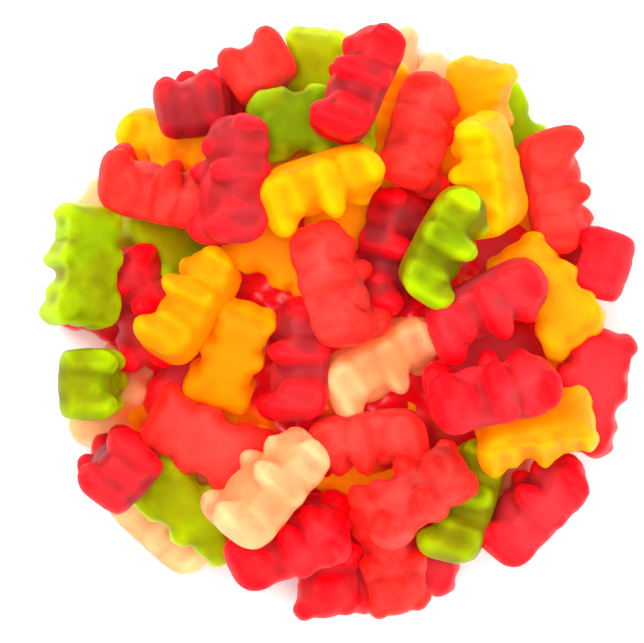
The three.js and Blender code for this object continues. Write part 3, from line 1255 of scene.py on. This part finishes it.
class PilingTree:
    """The Geometry Nodes tree that sets cast bears on the points of a heap and joins them."""

    GREY: Point = (0.5, 0.5, 0.5)  # the middle of a noise
    FLOOR: Point = (-1.0, -1.0, 0.0)  # as low as a vertex may lie, and farther out than any does

    def __init__(self) -> None:
        """Builds the tree with its inputs."""
        self.tree = bpy.data.node_groups.new("pile_of_bears", "GeometryNodeTree")
        self._socket("Geometry", "NodeSocketGeometry", "INPUT")
        self.moulds = self._socket("Moulds", "NodeSocketCollection", "INPUT")
        self.jelly = self._socket("Jelly", "NodeSocketMaterial", "INPUT")
        self.dent = self._socket("Dent depth", "NodeSocketFloat", "INPUT")
        self.waves = self._socket("Dents to the metre", "NodeSocketFloat", "INPUT")
        self._socket("Geometry", "NodeSocketGeometry", "OUTPUT")
        given = self._node("NodeGroupInput")
        piled = self._pile(given.outputs["Geometry"], given.outputs["Moulds"])
        dented = self._dent(piled, given.outputs["Dents to the metre"], given.outputs["Dent depth"])
        flat = self._flatten(dented)
        soft = self._node("GeometryNodeSetShadeSmooth", {}, {"Geometry": flat})
        dressed = self._node(
            "GeometryNodeSetMaterial",
            {},
            {"Geometry": soft.outputs[0], "Material": given.outputs["Jelly"]},
        )
        self._node("NodeGroupOutput", {}, {"Geometry": dressed.outputs[0]})

    def _socket(self, name: str, kind: str, way: str) -> str:
        """Adds an input or an output to the tree and returns its identifier."""
        return self.tree.interface.new_socket(name, in_out=way, socket_type=kind).identifier

    def _pile(self, points: bpy.types.NodeSocket, moulds: bpy.types.NodeSocket) -> bpy.types.NodeSocket:
        """Sets a cast bear on every point.

        Args:
            points: The points, with the attributes mould, turn and size.
            moulds: The collection of cast bears.

        Returns:
            The bears' joined mesh.
        """
        bears = self._node("GeometryNodeCollectionInfo", {}, {"Collection": moulds})
        bears.inputs["Separate Children"].default_value = True
        bears.inputs["Reset Children"].default_value = True
        put = self._node(
            "GeometryNodeInstanceOnPoints",
            {},
            {
                "Points": points,
                "Instance": bears.outputs["Instances"],
                "Instance Index": self._read("mould", "INT"),
                "Rotation": self._read("turn", "QUATERNION"),
                "Scale": self._read("size", "FLOAT"),
            },
        )
        put.inputs["Pick Instance"].default_value = True
        real = self._node("GeometryNodeRealizeInstances", {}, {"Geometry": put.outputs["Instances"]})
        return real.outputs["Geometry"]

    def _dent(
        self, bears: bpy.types.NodeSocket, waves: bpy.types.NodeSocket, depth: bpy.types.NodeSocket
    ) -> bpy.types.NodeSocket:
        """Makes the bears a little uneven, no two alike.

        Args:
            bears: The bears' mesh.
            waves: Dents to the metre.
            depth: How deep they are.

        Returns:
            The dented mesh.
        """
        noise = self._node("ShaderNodeTexNoise", {}, {"Scale": waves})
        noise.inputs["Detail"].default_value = 1.0
        middle = self._node("ShaderNodeVectorMath", {"operation": "SUBTRACT"}, {0: noise.outputs["Color"]})
        middle.inputs[1].default_value = self.GREY
        dent = self._node(
            "ShaderNodeVectorMath", {"operation": "SCALE"}, {0: middle.outputs[0], "Scale": depth}
        )
        uneven = self._node("GeometryNodeSetPosition", {}, {"Geometry": bears, "Offset": dent.outputs[0]})
        return uneven.outputs[0]

    def _flatten(self, bears: bpy.types.NodeSocket) -> bpy.types.NodeSocket:
        """Lays what would reach below the floor flat on it.

        Args:
            bears: The bears' mesh.

        Returns:
            The flattened mesh.
        """
        place = self._node("GeometryNodeInputPosition")
        on_floor = self._node("ShaderNodeVectorMath", {"operation": "MAXIMUM"}, {0: place.outputs[0]})
        on_floor.inputs[1].default_value = self.FLOOR
        flat = self._node(
            "GeometryNodeSetPosition", {}, {"Geometry": bears, "Position": on_floor.outputs[0]}
        )
        return flat.outputs[0]

    def _node(
        self,
        kind: str,
        settings: Optional[dict[str, Any]] = None,
        links: Optional[dict[Union[str, int], bpy.types.NodeSocket]] = None,
    ) -> bpy.types.Node:
        """Adds a node.

        Args:
            kind: The node's type.
            settings: The node's own properties.
            links: The output sockets that feed its inputs, by name or number.

        Returns:
            The node.
        """
        node = self.tree.nodes.new(kind)
        for key, setting in (settings or {}).items():
            setattr(node, key, setting)
        for key, socket in (links or {}).items():
            self.tree.links.new(socket, node.inputs[key])
        return node

    def _read(self, name: str, kind: str) -> bpy.types.NodeSocket:
        """Reads an attribute of the points.

        Args:
            name: The attribute's name.
            kind: The type of its values.

        Returns:
            The attribute.
        """
        node = self._node("GeometryNodeInputNamedAttribute", {"data_type": kind})
        node.inputs["Name"].default_value = name
        return node.outputs["Attribute"]

    def apply_to(self, piece: bpy.types.Object, inputs: dict[str, Any]) -> None:
        """Runs the tree on a piece and leaves it as a plain mesh.

        Args:
            piece: The piece, a cloud of points with their attributes.
            inputs: The tree's inputs, by identifier.
        """
        modifier = piece.modifiers.new("pile", "NODES")
        modifier.node_group = self.tree
        for identifier, value in inputs.items():
            modifier[identifier] = value
        mesh = as_plain_mesh(piece)
        piece.modifiers.clear()
        piece.data = mesh


@dataclass(frozen=True)
class Surroundings:
    """All the bears, as one of them meets them: their faces, whose each face is, and their colours."""

    tree: BVHTree
    owners: list[int]
    colours: dict[int, np.ndarray]


@dataclass(frozen=True)
class Backing:
    """Painted see-through: the colour of what lies behind the jelly, painted into it the more the thinner it
    is.
    """

    jelly_reach: float = 13.0  # of jelly over which less shows
    air_reach: float = 7.0  # of air over which what lies behind gets darker, as painted shade
    clearance: float = 0.05  # how far inside the bear a look starts
    step: float = 0.03  # how far past a skin it goes on
    slant: float = 0.5  # how far a look leans from straight in to straight down
    steps: int = 4
    times_evened: int = 9
    darkest: float = 0.4  # what is left of the light far behind
    floor_colour: Colour = (0.95, 0.95, 0.95)

    def note(self, pieces: dict[Flavour, bpy.types.Object]) -> None:
        """Keeps the painted see-through attributes behind and clear on every piece.

        Args:
            pieces: The finished pieces, by flavour.
        """
        around = self._surroundings([pieces[jelly.flavour].data for jelly in JELLIES])
        for jelly in JELLIES:
            mesh = pieces[jelly.flavour].data
            numbers = read_numbers(mesh).tolist()
            seen = np.array([self._look(vertex, numbers[vertex.index], around) for vertex in mesh.vertices])
            links, count = links_of(mesh)
            seen[:, :3] *= seen[:, 3:]
            for column in range(4):
                seen[:, column] = spread_out(seen[:, column], links, count, self.times_evened)
            # painted see-through colour and how clearly it shows
            store(mesh, "clear", jelly.clearness * seen[:, 3])
            store_colours(mesh, "behind", seen[:, :3] / seen[:, 3:] * np.array(jelly.thin))

    def _surroundings(self, meshes: list[bpy.types.Mesh]) -> Surroundings:
        """Gathers all the bears.

        Args:
            meshes: The meshes of the pieces, in the order of their jellies.

        Returns:
            The bears.
        """
        points = [read_points(mesh) for mesh in meshes]
        starts = np.cumsum([0] + [len(rows) for rows in points])
        faces, owners, colours = [], [], {}
        for mesh, start, jelly in zip(meshes, starts, JELLIES):
            numbers = read_numbers(mesh).tolist()
            colours.update({number: np.array(jelly.thick) for number in set(numbers)})
            for polygon in mesh.polygons:
                faces.append([start + corner for corner in polygon.vertices])
                owners.append(numbers[polygon.vertices[0]])
        tree = BVHTree.FromPolygons(np.concatenate(points).tolist(), faces)
        return Surroundings(tree, owners, colours)

    def _look(self, vertex: bpy.types.MeshVertex, own: int, around: Surroundings) -> np.ndarray:
        """Looks into the jelly from a vertex.

        Args:
            vertex: The vertex.
            own: The number of its bear.
            around: All the bears.

        Returns:
            The red, green and blue of what lies behind the jelly, darkened by painted shade, and how clearly
            it shows.
        """
        way = (Vector((0, 0, -self.slant)) - vertex.normal).normalized()
        start = vertex.co + way * self.clearance * MM
        walked, jelly, colour = 0.0, None, None
        for _ in range(self.steps):
            spot, _, face, far = around.tree.ray_cast(start, way)
            if spot is None:
                break
            walked += far / MM
            if around.owners[face] != own:
                colour = around.colours[around.owners[face]]
                break
            jelly = walked if jelly is None else jelly
            start = spot + way * self.step * MM
        jelly = walked if jelly is None else jelly
        if colour is None:
            colour = np.array(self.floor_colour)
            if way.z < 0:
                walked = max(walked, vertex.co.z / -way.z / MM)
        # painted shade: what lies behind is darker the more air lies between
        light = self.darkest + (1 - self.darkest) * math.exp(-(walked - jelly) / self.air_reach)
        return np.array([*(colour * light), math.exp(-jelly / self.jelly_reach)])


@dataclass(frozen=True)
class Patches:
    """Soft patches of one colour on another."""

    colour: Colour
    waves: float  # to the metre
    level: float  # of the noise, from 0 to 1, at which they begin
    contrast: float

    def lay_on(self, body: Union[Wire, Colour], paint: Paint, where: Wire) -> Wire:
        """Returns the body's colour with the patches on it.

        Args:
            body: The body's colour.
            paint: The material.
            where: The place the patches are read at.

        Returns:
            The colour.
        """
        noise = paint.noise(self.waves, 0.0, where)
        return paint.mix(self.contrast * (noise - self.level), body, self.colour)


@dataclass(frozen=True)
class BuriedSweets:
    """The core of the heap: a low lumpy dome for the sweets that no one sees."""

    radius: float = 37.0
    height: float = 21.0
    fullness: float = 0.8  # the lower, the fuller the dome is towards its edge
    lump: float = 3.0
    lumps_across: float = 7.0
    lump_phase: float = 0.7
    slanting_lump: float = 0.5  # of the second set of lumps, which run slantwise
    slanting_waves: float = 1.7
    rings: int = 24
    sides: int = 72
    colour: Colour = (0.6, 0.0, 0.006)
    patches: tuple[Patches, ...] = (
        Patches((0.42, 0.004, 0.01), waves=70.0, level=0.45, contrast=3.0),
        Patches((0.8, 0.12, 0.0), waves=95.0, level=0.56, contrast=5.0),
    )

    def build(self) -> bpy.types.Object:
        """Builds the core.

        Returns:
            The core, a closed piece.
        """
        shape = bmesh.new()
        rows = []
        for ring in range(1, self.rings + 1):
            share = ring / self.rings
            angles = [2 * math.pi * k / self.sides for k in range(self.sides)]
            rows.append([shape.verts.new(self._spot(share, angle)) for angle in angles])
        crown = shape.verts.new(self._spot(0.0, 0.0))
        foot = shape.verts.new((0, 0, 0))
        for k in range(self.sides):
            n = (k + 1) % self.sides
            shape.faces.new((crown, rows[0][k], rows[0][n]))
            shape.faces.new((foot, rows[-1][n], rows[-1][k]))
            for inner, outer in zip(rows, rows[1:]):
                shape.faces.new((inner[k], outer[k], outer[n], inner[n]))
        mesh = bpy.data.meshes.new("buried_sweets")
        shape.to_mesh(mesh)
        shape.free()
        for polygon in mesh.polygons:
            polygon.use_smooth = True
        mesh.materials.append(self._paint())
        piece = bpy.data.objects.new("buried_sweets", mesh)
        bpy.context.scene.collection.objects.link(piece)
        return piece

    def _spot(self, share: float, angle: float) -> Vector:
        """Returns a point of the dome.

        Args:
            share: How far out it lies, 0 in the middle and 1 at the edge.
            angle: The way it lies in.

        Returns:
            The point, in metres.
        """
        x, y = self.radius * share * math.cos(angle), self.radius * share * math.sin(angle)
        wave = 2 * math.pi * self.lumps_across / (2 * self.radius)
        bump = math.sin(wave * x + self.lump_phase) * math.cos(wave * y)
        bump += self.slanting_lump * math.sin(self.slanting_waves * wave * (x + y))
        height = self.height * (1 - share**2) ** self.fullness + self.lump * bump * (1 - share**6)
        return Vector((x, y, max(height, 0.0) if share < 1 else 0.0)) * MM

    def _paint(self) -> bpy.types.Material:
        """Mixes the core's material, patches of the deep colours of the sweets, with a painted glow.

        Returns:
            The material.
        """
        paint = Paint("gummy_core")
        where = paint.node("ShaderNodeTexCoord", output="Object")
        body = self.colour
        for patches in self.patches:
            body = patches.lay_on(body, paint, where)
        # painted glow: the core gives off its own colour as light
        looks = {"Base Color": body, "Roughness": 0.4, "Emission Color": body, "Emission Strength": 0.3}
        return paint.finish(paint.node("ShaderNodeBsdfPrincipled", {}, looks))


@dataclass
class Heap:
    """The heap: the settled bears, one piece for each flavour, over a core of buried sweets."""

    settling: Settling = field(default_factory=Settling)
    foot: FootRing = field(default_factory=FootRing)
    core: BuriedSweets = field(default_factory=BuriedSweets)
    backing: Backing = field(default_factory=Backing)
    core_slot: str = "gummy_crimson"
    dent_depth: float = 0.9
    dents_to_the_metre: float = 90.0

    def cast_moulds(self) -> bpy.types.Collection:
        """Casts one bear of each mould.

        Returns:
            The collection that holds them, in the order of the moulds.
        """
        tray = bpy.data.collections.new("moulds")
        for mould in MOULDS:
            cast = mould.cast()
            bpy.context.scene.collection.objects.unlink(cast)
            tray.objects.link(cast)
        return tray

    def build(self) -> list[bpy.types.Object]:
        """Builds every piece of the heap.

        Returns:
            The pieces.
        """
        sweets = self.settling.settle() + self.foot.lay(self.settling)
        tray = self.cast_moulds()
        tree = PilingTree()
        bears: dict[Flavour, bpy.types.Object] = {}
        for jelly in JELLIES:
            own = [(i, s) for i, s in enumerate(sweets) if s.laid.flavour is jelly.flavour]
            piece = self._points(f"bears_{jelly.flavour.value}", own)
            fed = {
                tree.moulds: tray,
                tree.jelly: jelly.build(),
                tree.dent: self.dent_depth * MM,
                tree.waves: self.dents_to_the_metre,
            }
            tree.apply_to(piece, fed)
            self._place(piece)
            bears[jelly.flavour] = piece
        for cast in list(tray.objects):
            bpy.data.objects.remove(cast)
        bpy.data.collections.remove(tray)
        self.backing.note(bears)
        core = self.core.build()
        self._place(core)
        return [*bears.values(), core]

    def _place(self, piece: bpy.types.Object) -> None:
        """Says which body a piece rides and which node it replaces.

        Args:
            piece: The piece.
        """
        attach(piece, BODY)
        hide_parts(NODE)

    def _points(self, name: str, own: list[tuple[int, Sweet]]) -> bpy.types.Object:
        """Makes the cloud of points on which one flavour's bears are set.

        Args:
            name: The piece's name.
            own: The number and the place of each of its bears.

        Returns:
            The piece.
        """
        mesh = bpy.data.meshes.new(name)
        mesh.from_pydata([tuple(sweet.place * MM) for _, sweet in own], [], [])
        numbers = np.array([number for number, _ in own])
        store(mesh, "mould", numbers * 7 % len(MOULDS), whole=True)
        store(mesh, "size", np.array([sweet.size for _, sweet in own]))
        store(mesh, "number", numbers, whole=True)
        store(mesh, "shade", np.array([sweet.laid.shade for _, sweet in own]))
        turn = mesh.attributes.new("turn", "QUATERNION", "POINT")
        for row, (_, sweet) in zip(turn.data, own):
            x, y, z, w = (float(v) for v in sweet.turn)
            row.value = (w, x, y, z)
        piece = bpy.data.objects.new(name, mesh)
        bpy.context.scene.collection.objects.link(piece)
        return piece


# --------------------------------------------------------------------
# The studio
# --------------------------------------------------------------------


@dataclass(frozen=True)
class SoftBox:
    """A square soft light over the heap, turned towards its middle."""

    name: str
    place: Point
    side: float
    watts: float

    def hang(self) -> None:
        """Hangs the light."""
        lamp = bpy.data.lights.new(self.name, "AREA")
        lamp.shape = "SQUARE"
        lamp.size = self.side * MM
        lamp.energy = self.watts
        box = bpy.data.objects.new(self.name, lamp)
        box.location = Vector(self.place) * MM
        box.rotation_euler = (Vector((0, 0, 0)) - box.location).to_track_quat("-Z", "Y").to_euler()
        bpy.context.scene.collection.objects.link(box)


@dataclass(frozen=True)
class Studio:
    """A white floor, soft lights and a camera that looks straight down."""

    camera_place: Point = (-3.24, -0.1, 508.0)
    focal: float = 155.0
    sensor: float = 36.0
    nearest: float = 0.01  # in metres, like the farthest
    farthest: float = 20.0
    floor_side: float = 4000.0
    floor_colour: Colour = (0.93, 0.93, 0.93)
    floor_roughness: float = 0.9
    room_light: float = 0.95
    boxes: tuple[SoftBox, ...] = (
        SoftBox("key", (-450, 500, 900), side=500, watts=8.6),
        SoftBox("fill", (650, -350, 700), side=600, watts=3.6),
        SoftBox("top", (0, 0, 1300), side=700, watts=6.8),
    )

    def build(self) -> None:
        """Builds the floor, the lights and the camera."""
        self._floor()
        for box in self.boxes:
            box.hang()
        self._room()
        self._camera()

    def _floor(self) -> None:
        """Lays the floor."""
        half = self.floor_side / 2 * MM
        mesh = bpy.data.meshes.new("floor")
        corners = [(-half, -half, 0), (half, -half, 0), (half, half, 0), (-half, half, 0)]
        mesh.from_pydata(corners, [], [(0, 1, 2, 3)])
        paint = Paint("floor_paper")
        looks = {"Base Color": (*self.floor_colour, 1.0), "Roughness": self.floor_roughness}
        mesh.materials.append(paint.finish(paint.node("ShaderNodeBsdfPrincipled", {}, looks)))
        floor = bpy.data.objects.new("floor", mesh)
        bpy.context.scene.collection.objects.link(floor)

    def _room(self) -> None:
        """Lights the room evenly from all around."""
        world = bpy.data.worlds.new("room")
        world.use_nodes = True
        background = world.node_tree.nodes["Background"]
        background.inputs["Color"].default_value = (1.0, 1.0, 1.0, 1.0)
        background.inputs["Strength"].default_value = self.room_light
        bpy.context.scene.world = world

    def _camera(self) -> None:
        """Hangs the camera over the heap, the top of its picture towards +Y."""
        lens = bpy.data.cameras.new("camera")
        lens.lens = self.focal
        lens.sensor_width = self.sensor
        lens.clip_start = self.nearest
        lens.clip_end = self.farthest
        camera = bpy.data.objects.new("camera", lens)
        camera.location = Vector(self.camera_place) * MM
        bpy.context.scene.collection.objects.link(camera)
        bpy.context.scene.camera = camera
        view = bpy.context.scene.view_settings
        view.view_transform = "Standard"
        view.look = "None"


def main() -> None:
    """Builds the heap and the studio, in order."""
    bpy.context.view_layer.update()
    for piece in Heap().build():
        LOG.info("%s: %d triangles", piece.name, sum(len(face.vertices) - 2 for face in piece.data.polygons))
    Studio().build()


if __name__ == "__main__":
    main()
